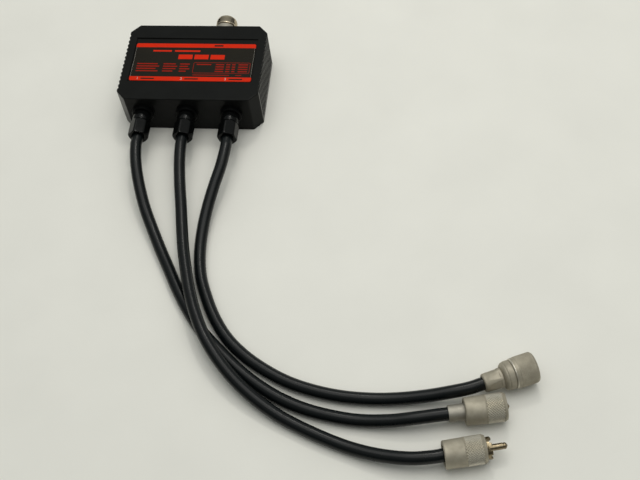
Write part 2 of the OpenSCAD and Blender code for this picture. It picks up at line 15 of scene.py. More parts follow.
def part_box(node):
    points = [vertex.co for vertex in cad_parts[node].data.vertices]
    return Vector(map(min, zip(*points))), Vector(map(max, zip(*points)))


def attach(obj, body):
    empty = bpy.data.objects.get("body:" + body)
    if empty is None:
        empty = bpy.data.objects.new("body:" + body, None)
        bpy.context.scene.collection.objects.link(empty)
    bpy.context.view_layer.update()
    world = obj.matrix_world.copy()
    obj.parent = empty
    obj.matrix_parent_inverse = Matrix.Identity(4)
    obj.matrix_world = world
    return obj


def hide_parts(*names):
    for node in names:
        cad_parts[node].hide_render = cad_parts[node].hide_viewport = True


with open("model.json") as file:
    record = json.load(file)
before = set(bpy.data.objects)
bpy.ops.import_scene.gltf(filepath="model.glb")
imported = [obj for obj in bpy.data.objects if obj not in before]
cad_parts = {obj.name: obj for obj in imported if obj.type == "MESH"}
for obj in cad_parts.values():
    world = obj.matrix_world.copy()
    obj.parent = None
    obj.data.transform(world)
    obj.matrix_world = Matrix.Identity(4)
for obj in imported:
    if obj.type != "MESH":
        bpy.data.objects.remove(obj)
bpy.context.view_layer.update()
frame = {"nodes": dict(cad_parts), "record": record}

bl_info = {
    "name": "Triplexer",
    "version": (1, 0, 0),
    "blender": (4, 5, 0),
    "location": "View3D > Sidebar > Triplexer",
    "description": "Builds the case, leads and plugs of a triplexer round its CAD frame",
    "category": "Object",
}

# The constants below are in millimetres and degrees, unless a comment gives another unit
MM = 0.001

# The walls of the case, and the places of the glands and the antenna socket on them
LEAD_WALL, SOCKET_WALL = -36.0, 36.0
GLAND_X = {"left": -33.9, "middle": -1.4, "right": 31.1}
GLAND_HEIGHT = 18.5
SOCKET_X = 16.4

# Where the plugs lie: x, y and height of the rear end, and the heading from +X.
# Lengths along a plug are counted forwards from its rear end.
LEFT_PLUG = (190.8, -256.2, 8.9, 10.8)
MIDDLE_PLUG = (189.6, -282.1, 8.9, 12.5)
N_PLUG = (211.6, -235.8, 9.8, 22.5)

# The screw ring, its front end at the rear stop, and how far forward of that the left one stands
RING_DIAMETER, RING_LENGTH = 17.8, 25.2
RING_FRONT = 24.1
LEFT_RING_FORWARD = 10.9

# Where the worn front of a screw-ring plug's body begins
WORN_FRONT = 20.0

# The N plug's coupling nut, and the collar behind it with its groove
N_NUT_DIAMETER = 19.6
N_NUT_REAR, N_NUT_FRONT = 18.8, 33.5
COLLAR_REAR, COLLAR_FRONT = 12.3, 18.2
GROOVE_PLACE, GROOVE_WIDTH = 14.6, 0.7
# The radius at the bottom of the groove, as a share of the collar's
GROOVE_SHARE = 0.955

# A lead along y: its inner end, its exit point in the gland, the gland's mouth, and the end of
# the straight stretch in front of it
LEAD_START, LEAD_EXIT, GLAND_MOUTH, STRAIGHT_END = -23.0, -52.5, -59.4, -67.4

# The straight stretch in front of a plug, along the plug
PLUG_APPROACH = (-9.0, -1.0)

# Each lead's plug, how far the lead reaches into it, and the lead's length in metres
LEADS = {
    "left": (LEFT_PLUG, 8.0, 0.385),
    "middle": (MIDDLE_PLUG, 8.0, 0.382),
    "right": (N_PLUG, 18.7, 0.387),
}

# The free run of each lead: x, y, and the height of its underside in cable diameters
FREE_RUNS = {
    "left": (
        (-31.5, -82, 1.55), (-27, -98, 1.1), (-21, -114, 0.62), (-13.5, -129.5, 0.24),
        (-5.5, -145, 0.05), (3, -160.5, 0), (11.5, -176, 0), (21, -191, 0), (31.5, -205, 0),
        (44, -217.5, 0), (57, -229.5, 0), (71, -240, 0), (86.5, -249, 0), (103, -255.5, 0),
        (120.5, -259.5, 0), (138, -261.5, 0.04), (155.5, -261.5, 0.28), (169, -260.2, 0.52),
    ),
    "middle": (
        (0, -82, 1.6), (2.5, -98, 1.4), (5.5, -114, 1.16), (8.5, -130.5, 1), (12, -147.5, 0.95),
        (16.5, -164.5, 0.96), (21.5, -181, 1), (28, -197.5, 1.05), (36, -213, 1.05),
        (46, -227, 0.9), (57.5, -239.5, 0.64), (71, -250.5, 0.34), (86, -260, 0.1),
        (101.5, -267.5, 0), (117.5, -274, 0), (134, -279.5, 0.04), (151, -283.5, 0.28),
        (168, -285.2, 0.52),
    ),
    "right": (
        (29.5, -82, 1.55), (26, -97, 1.1), (23, -113, 0.62), (21.5, -129.5, 0.24),
        (22, -146.5, 0.05), (25, -163.5, 0), (31, -179.5, 0), (39, -195.5, 0), (49, -209.5, 0),
        (62, -221.5, 0), (76.5, -231, 0), (92, -238.5, 0), (109, -243.5, 0), (126, -246.3, 0),
        (143.5, -247, 0), (161, -246.2, 0.1), (178, -244.5, 0.38), (193, -242, 0.66),
    ),
}

# The label: half its thickness, how far its print stands proud, and the fine pale line along each
# side, which is a painted reflection of the film's edge
FILM_TOP = 0.3
PRINT_RISE, FRAME_RISE = 0.05, 0.02
PAINTED_REFLECTION_WIDTH, PAINTED_REFLECTION_MARGIN = 0.08, 0.5

# The label's finishes, in the order of its material slots
BLACK, RED, PALE_PRINT_AND_REFLECTION, DULL_RED = range(4)

# The print, from the label's centre: the ends of its bars, and the middle of each table row
HEADING_BARS = ((-31.5, -17.5), (-15.0, 4.0))
BROAD_BARS = ((-11.5, -1.0), (0.5, 11.0), (12.5, 23.0))
LEFT_TABLE = {
    -2.0: ((-41.4, -26.0), (-21.6, -12.5), (-9.2, -2.0)),
    -4.3: ((-41.4, -24.5), (-21.6, -11.0), (-9.2, -3.0)),
    -6.6: ((-41.4, -27.0), (-21.6, -12.0), (-9.2, -1.7)),
    -8.9: ((-41.4, -25.0), (-21.6, -14.0), (-9.2, -4.0)),
}
RIGHT_TABLE_ROWS = (-2.2, -4.4, -6.6, -8.8)
RIGHT_TABLE_BARS = ((17.5, 23.7), (25.2, 28.2), (29.6, 32.0), (34.3, 41.3))
TABLE_BAR_HEIGHT = 0.95
FOOT_BARS = ((1.5, 28.5), (33.0, 37.5))

# The camera: its place in metres, its turns and its lens
CAMERA_PLACE = (0.1790, -0.5020, 0.5905)
CAMERA_HEADING, CAMERA_PITCH, CAMERA_ROLL = 11.676, 32.737, -8.116
CAMERA_LENS = 57.965

# The stage, in metres: the floor's half width, its drop below the object, and the lamps' aim
FLOOR_SIZE, FLOOR_DROP = 12.0, 0.2 * MM
LIGHT_AIM = (0.08, -0.12, 0.0)

# The sky is brightest overhead and towards the back, as beside a window
SKY_COLOUR = (0.93, 0.965, 0.935, 1.0)
SKY_BRIGHTEST = (0.0, 0.42, 0.91)

# Points closer than this are one: in a CAD mesh, in metres, and in a turned section
CAD_MERGE, SECTION_MERGE = 2e-6, 1e-4

# The finish of each material slot of the record
SLOT_FINISH = {
    "case": "Moulded ABS",
    "base": "Moulded ABS",
    "black_screw": "Black zinc on steel",
    "label": "Printed film, black",
    "bright_nickel": "Bright nickel plate",
    "satin_nickel": "Satin nickel plate",
    "white_insulator": "White PTFE",
    "resin": "Phenolic resin",
    "gold_contact": "Gold plate",
    "gland": "Gloss polyamide",
    "rubber": "Black rubber",
    "gasket": "Red silicone rubber",
    "jacket": "PVC cable jacket",
    "clip_brass": "Rolled brass",
    "spring": "Spring steel",
    "board": "Lacquered glass-fibre board",
    "tin": "Tinned steel sheet",
    "copper": "Enamelled copper wire",
    "disc": "Dipped ceramic",
}


def linear(code):
    """An sRGB hex colour as linear RGBA."""
    parts = [int(code[i : i + 2], 16) / 255 for i in (1, 3, 5)]
    return (*[c / 12.92 if c <= 0.04045 else ((c + 0.055) / 1.055) ** 2.4 for c in parts], 1.0)


class CaseSettings(bpy.types.PropertyGroup):
    """Sizes and colours of the case, its label and its glands"""

    edge_round: FloatProperty(
        name="Edge rounding",
        description="Width of the rounding on the case's top edge and cut corners",
        default=0.7 * MM, min=0.1 * MM, max=1.0 * MM, precision=5, unit="LENGTH",
    )
    lip_round: FloatProperty(
        name="Lip rounding",
        description="Width of the rounding on the flutes and the label recess",
        default=0.14 * MM, min=0.05 * MM, max=0.3 * MM, precision=5, unit="LENGTH",
    )
    case_colour: FloatVectorProperty(
        name="Case colour", description="Colour of the moulded case",
        default=linear("#161716"), size=4, min=0.0, max=1.0, subtype="COLOR",
    )
    stripe_width: FloatProperty(
        name="Stripe width", description="Width of the two stripes along the label",
        default=3.9 * MM, min=1.0 * MM, max=6.0 * MM, precision=4, unit="LENGTH",
    )
    stripe_colour: FloatVectorProperty(
        name="Stripe colour", description="Colour of the label's stripes and bars",
        default=linear("#d02604"), size=4, min=0.0, max=1.0, subtype="COLOR",
    )
    panel_colour: FloatVectorProperty(
        name="Panel colour", description="Colour of the label between its stripes",
        default=linear("#1e1b14"), size=4, min=0.0, max=1.0, subtype="COLOR",
    )
    gland_colour: FloatVectorProperty(
        name="Gland colour", description="Colour of the cable glands",
        default=linear("#090a0a"), size=4, min=0.0, max=1.0, subtype="COLOR",
    )


class LeadSettings(bpy.types.PropertyGroup):
    """Size and colour of the leads"""

    diameter: FloatProperty(
        name="Cable diameter", description="Outer diameter of the cable jacket",
        default=8.2 * MM, min=7.8 * MM, max=8.2 * MM, precision=4, unit="LENGTH",
    )
    jacket_colour: FloatVectorProperty(
        name="Jacket colour", description="Colour of the cable jacket",
        default=linear("#0a0e0f"), size=4, min=0.0, max=1.0, subtype="COLOR",
    )


class PlugSettings(bpy.types.PropertyGroup):
    """Sizes and colours of the plugs and the antenna socket"""

    diamond_pitch: FloatProperty(
        name="Ring knurl pitch", description="Distance from diamond to diamond round a screw ring",
        default=1.7 * MM, min=0.8 * MM, max=2.0 * MM, precision=4, unit="LENGTH",
    )
    diamond_depth: FloatProperty(
        name="Ring knurl depth", description="Depth of the knurl on a screw ring",
        default=0.5 * MM, min=0.1 * MM, max=0.6 * MM, precision=5, unit="LENGTH",
    )
    fine_pitch: FloatProperty(
        name="Nut knurl pitch",
        description="Distance from diamond to diamond round the coupling nut",
        default=0.95 * MM, min=0.6 * MM, max=1.6 * MM, precision=4, unit="LENGTH",
    )
    fine_depth: FloatProperty(
        name="Nut knurl depth", description="Depth of the knurl on the coupling nut",
        default=0.16 * MM, min=0.05 * MM, max=0.4 * MM, precision=5, unit="LENGTH",
    )
    thread_pitch: FloatProperty(
        name="Thread pitch", description="Distance from turn to turn of the connector thread",
        default=1.058 * MM, min=0.8 * MM, max=1.5 * MM, precision=5, unit="LENGTH",
    )
    satin_colour: FloatVectorProperty(
        name="Satin plate", description="Colour of the satin nickel plate",
        default=linear("#b4ae9f"), size=4, min=0.0, max=1.0, subtype="COLOR",
    )
    bright_colour: FloatVectorProperty(
        name="Bright plate", description="Colour of the bright nickel plate",
        default=linear("#b9ad98"), size=4, min=0.0, max=1.0, subtype="COLOR",
    )


class StageSettings(bpy.types.PropertyGroup):
    """Floor and light"""

    floor_colour: FloatVectorProperty(
        name="Floor", description="Colour of the floor",
        default=linear("#e9e8e1"), size=4, min=0.0, max=1.0, subtype="COLOR",
    )
    key_power: FloatProperty(
        name="Key light", description="Power of the small light behind and above the object",
        default=1.0, min=0.0, max=60.0, unit="POWER",
    )
    fill_power: FloatProperty(
        name="Fill light", description="Power of the broad soft light over the object",
        default=7.5, min=0.0, max=60.0, unit="POWER",
    )
    sky_high: FloatProperty(
        name="Bright sky", description="Strength of the sky overhead and towards the back",
        default=0.66, min=0.0, max=2.0,
    )
    sky_low: FloatProperty(
        name="Dim sky", description="Strength of the sky in front and below",
        default=0.1, min=0.0, max=2.0,
    )


def add(tree, kind, inputs, **settings):
    """Adds a node with its settings, and fills its inputs with values or links."""
    made = tree.nodes.new(kind)
    for name, value in settings.items():
        setattr(made, name, value)
    for key, value in inputs.items():
        if isinstance(value, bpy.types.NodeSocket):
            tree.links.new(value, made.inputs[key])
        else:
            made.inputs[key].default_value = value
    return made


def shade(colour, factor):
    """A linear colour made lighter or darker."""
    return (*[min(1.0, c * factor) for c in colour[:3]], 1.0)


def surface(name, colour, grain, relief, rough, patch=16.0, spread=0.18, **sockets):
    """Makes a procedural material: patches in its colour and gloss, and a grain in its relief.

    Grain, relief and patch are sizes in millimetres, rough is the range of its roughness, and
    spread how far the patches differ in colour. The other values go to the shader's sockets.
    """
    made = bpy.data.materials.new(name)
    made.use_nodes = True
    tree = made.node_tree
    shader = tree.nodes["Principled BSDF"]
    where = add(tree, "ShaderNodeTexCoord", {}).outputs["Object"]
    grit = add(
        tree, "ShaderNodeTexNoise", {"Vector": where, "Scale": 1 / (grain * MM), "Detail": 2.0}
    )
    cloud = add(
        tree, "ShaderNodeTexNoise", {"Vector": where, "Scale": 1 / (patch * MM), "Detail": 4.0}
    )
    # Nearly all of the noise lies between these values
    least, most = 0.3, 0.7
    level = add(
        tree, "ShaderNodeMapRange",
        {"Value": cloud.outputs[0], "From Min": least, "From Max": most},
    )
    dark, light = shade(colour, 1 - spread), shade(colour, 1 + spread)
    tone = add(
        tree, "ShaderNodeMix", {0: level.outputs[0], 6: dark, 7: light}, data_type="RGBA"
    )
    gloss = add(
        tree, "ShaderNodeMapRange",
        {
            "Value": cloud.outputs[0], "From Min": most, "From Max": least,
            "To Min": rough[0], "To Max": rough[1],
        },
    )
    bump = add(
        tree, "ShaderNodeBump",
        {"Height": grit.outputs[0], "Distance": relief * MM, "Strength": 1.0},
    )
    tree.links.new(tone.outputs[2], shader.inputs["Base Color"])
    tree.links.new(gloss.outputs[0], shader.inputs["Roughness"])
    tree.links.new(bump.outputs[0], shader.inputs["Normal"])
    for socket, value in sockets.items():
        label = socket.replace("_", " ").title().replace("Ior", "IOR")
        shader.inputs[label].default_value = value


# The fixed finishes: colour, grain, relief, roughness, patch, spread, and the shader's sockets
METAL = {"metallic": 1.0}
FIXED_FINISHES = {
    # Satin nickel plate that fingers have polished: glossier so it glints, and lighter as a
    # painted highlight
    "Handled nickel plate, painted highlight": ("#cbc6b9", 0.4, 0.012, (0.42, 0.5), 3.0, 0.08, METAL),
    # Nickel plated over tumbled brass: a cooler grey with a soft highlight
    "Tumbled nickel plate": ("#a5a197", 0.4, 0.01, (0.58, 0.7), 5.0, 0.08, METAL),
    # Brass with the last of its nickel: tan and polished by use
    "Worn nickel on brass": ("#877b64", 1.2, 0.006, (0.18, 0.3), 2.5, 0.25, METAL),
    # Thin gold over nickel: warm yellow and clear
    "Gold plate": ("#d9b25a", 0.8, 0.004, (0.16, 0.26), 3.0, 0.08, METAL),
    # Steel with black zinc: dark grey metal, dull in the recesses
    "Black zinc on steel": ("#2b2b2c", 0.5, 0.01, (0.35, 0.5), 3.0, 0.18, METAL),
    # Rolled brass strip: yellow metal with dull patches
    "Rolled brass": ("#b8923f", 0.7, 0.01, (0.25, 0.42), 3.0, 0.2, METAL),
    # Drawn and tempered steel wire: a cool grey with a soft sheen
    "Spring steel": ("#8f9194", 0.5, 0.008, (0.25, 0.4), 2.0, 0.15, METAL),
    # Hot-tinned sheet: pale grey metal with a spangle of dull and clear patches
    "Tinned steel sheet": ("#b7babb", 2.0, 0.01, (0.22, 0.45), 4.0, 0.12, METAL),
    # Copper wire under clear enamel: reddish and glossy
    "Enamelled copper wire": ("#a9582c", 0.8, 0.01, (0.2, 0.3), 3.0, 0.2, METAL),
    # Sintered PTFE: waxy white
    "White PTFE": ("#ebe8e0", 0.5, 0.01, (0.4, 0.5), 4.0, 0.05, {"ior": 1.38}),
    # Moulded phenolic: tan and slightly mottled
    "Phenolic resin": ("#c9b98c", 0.6, 0.01, (0.35, 0.5), 2.0, 0.15, {"ior": 1.6}),
    # Moulded rubber: matte black
    "Black rubber": ("#1f1f1f", 0.4, 0.02, (0.6, 0.75), 5.0, 0.18, {"ior": 1.52}),
    # Moulded silicone: brick red with a faint sheen
    "Red silicone rubber": ("#8a2f25", 0.4, 0.01, (0.45, 0.6), 3.0, 0.18, {"ior": 1.41}),
    # Solder-resist lacquer over glass cloth: green, glossy and slightly uneven
    "Lacquered glass-fibre board": ("#2c6a3a", 1.0, 0.02, (0.25, 0.35), 3.0, 0.25, {"ior": 1.55}),
    # Ceramic dipped in ochre lacquer: smooth with small sags
    "Dipped ceramic": ("#b9852f", 1.2, 0.05, (0.3, 0.42), 2.5, 0.12, {"ior": 1.55}),
}


class TRIPLEXER_OT_finishes(bpy.types.Operator):
    """Makes the materials of all the pieces"""

    bl_idname = "triplexer.finishes"
    bl_label = "Finishes"

    def execute(self, context):
        case = context.scene.triplexer_case
        leads = context.scene.triplexer_leads
        plugs = context.scene.triplexer_plugs
        # ABS moulded in a spark-eroded tool: black with a dull grain that spreads every highlight.
        # The real grain is about 0.1 mm and would not show, so it is drawn at 0.6 mm.
        surface(
            "Moulded ABS", case.case_colour, grain=0.6, relief=0.03, rough=(0.17, 0.27),
            ior=1.53, specular_ior_level=0.065,
        )
        # Screen print under a clear polycarbonate film: flat colours behind a smooth gloss
        film = {"grain": 3.0, "relief": 0.01, "rough": (0.2, 0.3), "ior": 1.58}
        ink = {**film, "spread": 0.06}
        dull_red = shade(case.stripe_colour, 0.5)
        surface("Printed film, black", case.panel_colour, **film, specular_ior_level=0.08)
        surface("Printed film, red", case.stripe_colour, **ink, specular_ior_level=0.08)
        surface("Printed film, dull red", dull_red, **ink, specular_ior_level=0.08)
        # The pale film prints the port numbers and also paints the reflection lines along the
        # label's sides
        surface("Printed film, pale", linear("#b5b1a8"), **ink)
        # Moulded polyamide: deep black with a wet-looking gloss and a faint flow ripple
        surface(
            "Gloss polyamide", case.gland_colour, grain=2.2, relief=0.012, rough=(0.1, 0.15),
            ior=1.53, specular_ior_level=0.12,
        )
        # The same polyamide from a grained part of the tool: dull, so it sinks into the wall
        surface(
            "Grained polyamide", case.gland_colour, grain=0.6, relief=0.02, rough=(0.3, 0.4),
            ior=1.53, specular_ior_level=0.05,
        )
        # Extruded PVC: near-black with a soft cool sheen and a slight ripple along the jacket
        surface(
            "PVC cable jacket", leads.jacket_colour, grain=5.0, relief=0.05, rough=(0.24, 0.32),
            ior=1.53, specular_ior_level=0.2,
        )
        # Nickel plated over blasted brass: warm grey with a broad soft highlight.
        # The blast pits are about 0.05 mm and are drawn at 0.4 mm.
        surface(
            "Satin nickel plate", plugs.satin_colour, grain=0.4, relief=0.012, rough=(0.66, 0.78),
            patch=6.0, spread=0.1, **METAL,
        )
        # Nickel plated over polished brass: brighter, with clear reflections and a warm tinge
        surface(
            "Bright nickel plate", plugs.bright_colour, grain=1.5, relief=0.006,
            rough=(0.07, 0.14), patch=5.0, spread=0.08, **METAL,
        )
        for name, (colour, *values, sockets) in FIXED_FINISHES.items():
            surface(name, linear(colour), *values, **sockets)
        return {"FINISHED"}


def sharp_edges(bm, degrees=28):
    """The edges at which two faces meet at more than an angle."""
    limit = math.radians(degrees)
    return [e for e in bm.edges if e.is_manifold and e.calc_face_angle(0) > limit]


def soften(bm, edges, width, segments=2):
    """Rounds edges by a width."""
    bmesh.ops.bevel(
        bm, geom=edges, offset=width, offset_type="OFFSET", segments=segments, profile=0.5,
        affect="EDGES", clamp_overlap=False, material=-1,
    )


def merged_copy(node):
    """A CAD node's mesh as a bmesh, with its loose triangles joined into whole faces."""
    bm = bmesh.new()
    bm.from_mesh(frame["nodes"][node].data)
    bmesh.ops.remove_doubles(bm, verts=bm.verts, dist=CAD_MERGE)
    bmesh.ops.dissolve_limit(bm, angle_limit=math.radians(0.5), verts=bm.verts, edges=bm.edges)
    return bm


def turned(section, steps):
    """A turned piece: its half section of (radius, height) points, closed, spun once about Z."""
    bm = bmesh.new()
    points = [bm.verts.new((radius, 0.0, height)) for radius, height in section]
    edges = [bm.edges.new(pair) for pair in zip(points, points[1:] + points[:1])]
    bmesh.ops.spin(
        bm, geom=points + edges, axis=(0, 0, 1), cent=(0, 0, 0), angle=2 * math.pi, steps=steps,
        use_merge=True,
    )
    bmesh.ops.remove_doubles(bm, verts=bm.verts, dist=SECTION_MERGE)
    bmesh.ops.recalc_face_normals(bm, faces=bm.faces)
    return bm


def join(bm, other, place):
    """Adds a second bmesh, put in its place, to a first one."""
    mesh = bpy.data.meshes.new("joined")
    other.to_mesh(mesh)
    other.free()
    mesh.transform(place)
    bm.from_mesh(mesh)
    bpy.data.meshes.remove(mesh)


def rows(start, end, count):
    """Section points in even steps from one point to another, both included."""
    return [tuple(a + (b - a) * i / count for a, b in zip(start, end)) for i in range(count + 1)]


def arc(centre, radius, start, end, count):
    """Section points on an arc, its angles counted from the radius's direction."""
    turns = [math.radians(start + (end - start) * i / count) for i in range(count + 1)]
    return [(centre[0] + radius * math.cos(t), centre[1] + radius * math.sin(t)) for t in turns]


def diamonds(length, pitch):
    """How many steps a knurl has over a length, two to each diamond; the pitch is in metres."""
    return 2 * round(length * MM / pitch)


def knurl(bm, low, high, count, columns, depth, finish):
    """Cuts a diamond knurl into a turned band and gives it one of the piece's finishes.

    The piece's other sharp edges are rounded first. Every second point of the band then sinks,
    the rows at its ends by half the depth, and each square folds along its low corners.
    """
    soften(bm, [e for e in sharp_edges(bm, 30) if not low < e.verts[0].co.z < high], 0.1)
    step = (high - low) / count
    outside = max(v.co.xy.length for v in bm.verts if low <= v.co.z <= high)
    band = [
        v for v in bm.verts
        if low - 1e-3 <= v.co.z <= high + 1e-3 and v.co.xy.length > outside - 0.01
    ]
    for v in band:
        row = round((v.co.z - low) / step)
        column = round(math.atan2(v.co.y, v.co.x) / (2 * math.pi) * columns)
        end = row in (0, count)
        if end or (row + column) % 2:
            scale = 1 - depth * (0.5 if end else 1.0) / v.co.xy.length
            v.co.x *= scale
            v.co.y *= scale
    inside = set(band)
    faces = [f for f in bm.faces if inside.issuperset(f.verts)]
    for face in faces:
        if low + step < face.calc_center_median().z < high - step:
            face.material_index = finish
    bmesh.ops.triangulate(bm, faces=faces, quad_method="SHORT_EDGE")


def flats(bm, across, low, high, corner):
    """Cuts six flats between two heights, a distance across them, with one corner at an angle."""
    for v in bm.verts:
        if low <= v.co.z <= high:
            turn = (math.degrees(math.atan2(v.co.y, v.co.x)) - corner) % 60 - 30
            scale = min(1.0, across / 2 / math.cos(math.radians(turn)) / v.co.xy.length)
            v.co.x *= scale
            v.co.y *= scale


def thread(bm, root, crest, pitch, start, turns):
    """Winds a screw thread about Z from a start height: a ridge with a narrow flat crest."""
    steps_per_turn = 40
    steps = round(steps_per_turn * turns)
    section = ((root, 0.0), (crest, 0.4 * pitch), (crest, 0.52 * pitch), (root, 0.92 * pitch))
    points = [bm.verts.new((radius, 0.0, start + height)) for radius, height in section]
    edges = [bm.edges.new(pair) for pair in zip(points, points[1:] + points[:1])]
    wound = bmesh.ops.spin(
        bm, geom=points + edges, axis=(0, 0, 1), cent=(0, 0, 0),
        dvec=(0, 0, pitch * turns / steps), angle=2 * math.pi * turns, steps=steps,
    )
    last = [e for e in wound["geom_last"] if isinstance(e, bmesh.types.BMEdge)]
    for end in (edges, last):
        bmesh.ops.contextual_create(bm, geom=end)
    bmesh.ops.recalc_face_normals(bm, faces=bm.faces)


def on_plug(at):
    """Matrix from a plug's own millimetres, +Z forwards from its rear end, to metres."""
    x, y, z, heading = at
    return (
        Matrix.Translation((x * MM, y * MM, z * MM))
        @ Matrix.Rotation(math.radians(heading), 4, "Z")
        @ Matrix.Rotation(math.radians(90), 4, "Y")
        @ Matrix.Scale(MM, 4)
    )


def on_wall(x, y, tilt):
    """Matrix from a wall fitting's own millimetres, +Z out of the wall, to metres."""
    return (
        Matrix.Translation((x * MM, y * MM, GLAND_HEIGHT * MM))
        @ Matrix.Rotation(math.radians(tilt), 4, "X")
        @ Matrix.Scale(MM, 4)
    )


def piece(name, bm, body, finishes, stands_for, place=None, crease=34):
    """Makes an object of a bmesh: placed, shaded, riding on its body, standing for a CAD node."""
    if place is not None:
        bmesh.ops.transform(bm, matrix=place, verts=bm.verts)
    mesh = bpy.data.meshes.new(name)
    bm.to_mesh(mesh)
    bm.free()
    mesh.shade_smooth()
    mesh.set_sharp_from_angle(angle=math.radians(crease))
    for finish in finishes:
        mesh.materials.append(bpy.data.materials[finish])
    made = bpy.data.objects.new(name, mesh)
    bpy.context.scene.collection.objects.link(made)
    even = made.modifiers.new("Even shading", "WEIGHTED_NORMAL")
    even.keep_sharp = True
    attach(made, body)
    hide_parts(stands_for)


class TRIPLEXER_OT_camera(bpy.types.Operator):
    """Stands the camera where the photograph was taken from"""

    bl_idname = "triplexer.camera"
    bl_label = "Camera"

    def execute(self, context):
        data = bpy.data.cameras.new("camera")
        data.sensor_fit = "HORIZONTAL"
        data.sensor_width = 36.0
        data.lens = CAMERA_LENS
        data.clip_start = 0.01
        data.clip_end = 50.0
        camera = bpy.data.objects.new("camera", data)
        context.scene.collection.objects.link(camera)
        camera.matrix_world = (
            Matrix.Translation(CAMERA_PLACE)
            @ Matrix.Rotation(math.radians(CAMERA_HEADING), 4, "Z")
            @ Matrix.Rotation(math.radians(CAMERA_PITCH), 4, "X")
            @ Matrix.Rotation(math.radians(CAMERA_ROLL), 4, "Z")
        )
        context.scene.camera = camera
        return {"FINISHED"}


class TRIPLEXER_OT_screw_plugs(bpy.types.Operator):
    """Builds the two screw-ring plugs: body, pin and knurled ring"""

    bl_idname = "triplexer.screw_plugs"
    bl_label = "Screw-ring plugs"

    def crown(self):
        """The ring of teeth on the front of the flange, which keeps a plug from turning."""
        tooth_pitch, gap_start, gap_end, gap_floor = 45, 16, 40, 25.9
        bm = turned(
            [(5.5, 25.3), (6.75, 25.3), (6.75, 27.0), (6.55, 27.3), (5.7, 27.3), (5.5, 27.1)],
            steps=96,
        )
        for v in bm.verts:
            turn = math.degrees(math.atan2(v.co.y, v.co.x)) % tooth_pitch
            if v.co.z > gap_floor and gap_start < turn < gap_end:
                v.co.z = gap_floor
        return bm

    def body(self, side, at):
        """The body: the CAD solid with softer edges and the crown, worn at the front."""
        bm = merged_copy(f"plug_body_{side}")
        soften(bm, sharp_edges(bm), 0.12 * MM)
        join(bm, self.crown(), on_plug(at))
        along = on_plug(at).inverted()
        for face in bm.faces:
            face.material_index = int((along @ face.calc_center_median()).z > WORN_FRONT)
        piece(
            f"{side}_plug_body", bm, "unit",
            ["Tumbled nickel plate", "Worn nickel on brass"], f"plug_body_{side}",
        )

    def pin(self, side, at):
        """The hollow centre pin, with a head in the insulator and a groove near its tip."""
        bm = turned(
            [
                # The head and the neck in the insulator
                (0.85, 21.25), (2.6, 21.25), (2.6, 23.25), (1.7, 23.25), (1.7, 24.95),
                # The pin and its groove
                (2.0, 24.95), (2.0, 34.2), (1.75, 34.4), (1.75, 34.7), (2.0, 34.9), (2.0, 35.3),
                # The rounded tip and the bore
                *arc((0.6, 35.3), 1.4, 0, 70, 5), (0.75, 36.7), (0.5, 36.95), (0.0, 37.05),
                (0.0, 35.6), (0.85, 35.0),
            ],
            steps=48,
        )
        piece(
            f"{side}_plug_pin", bm, "unit", ["Worn nickel on brass"],
            f"plug_pin_{side}", on_plug(at),
        )

    def ring(self, plugs, side, at, forward):
        """The loose ring: smooth behind, knurled in front, with a thread in its front bore."""
        front = RING_FRONT + forward
        rear = front - RING_LENGTH
        outer = RING_DIAMETER / 2
        low, high = rear + 12.6, front - 1.5
        columns = diamonds(math.pi * RING_DIAMETER, plugs.diamond_pitch)
        count = diamonds(high - low, plugs.diamond_pitch)
        bm = turned(
            [
                # The rounded rear lip and the smooth part
                (7.0, rear), (7.6, rear), *arc((7.56, rear + 1.0), 1.0, -80, 0, 6),
                (8.7, rear + 12.3),
                # The band that gets the knurl, and the front lip
                *rows((outer, low), (outer, high), count), (8.65, front - 1.3), (8.0, front),
                # The front bore, the web that stops at the flange, and the rear bore
                (7.75, front), (7.5, front - 0.3), (7.5, front - 10.8), (6.1, front - 10.8),
                (6.1, front - 12.3), (6.6, front - 12.3), (6.6, rear + 0.4),
            ],
            columns,
        )
        # The knurled band gets the handled finish: polished by handling, and lighter as a painted
        # highlight
        knurl(bm, low, high, count, columns, plugs.diamond_depth / MM, finish=1)
        pitch = plugs.thread_pitch / MM
        thread(bm, root=7.55, crest=7.1, pitch=pitch, start=front - 10.2, turns=8.8)
        piece(
            f"{side}_screw_ring", bm, f"{side}_ring",
            ["Satin nickel plate", "Handled nickel plate, painted highlight"], f"plug_ring_{side}", on_plug(at),
            crease=20,
        )

    def execute(self, context):
        plugs = context.scene.triplexer_plugs
        for side, forward in (("left", LEFT_RING_FORWARD), ("middle", 0.0)):
            at = LEADS[side][0]
            self.body(side, at)
            self.pin(side, at)
            self.ring(plugs, side, at, forward)
        return {"FINISHED"}


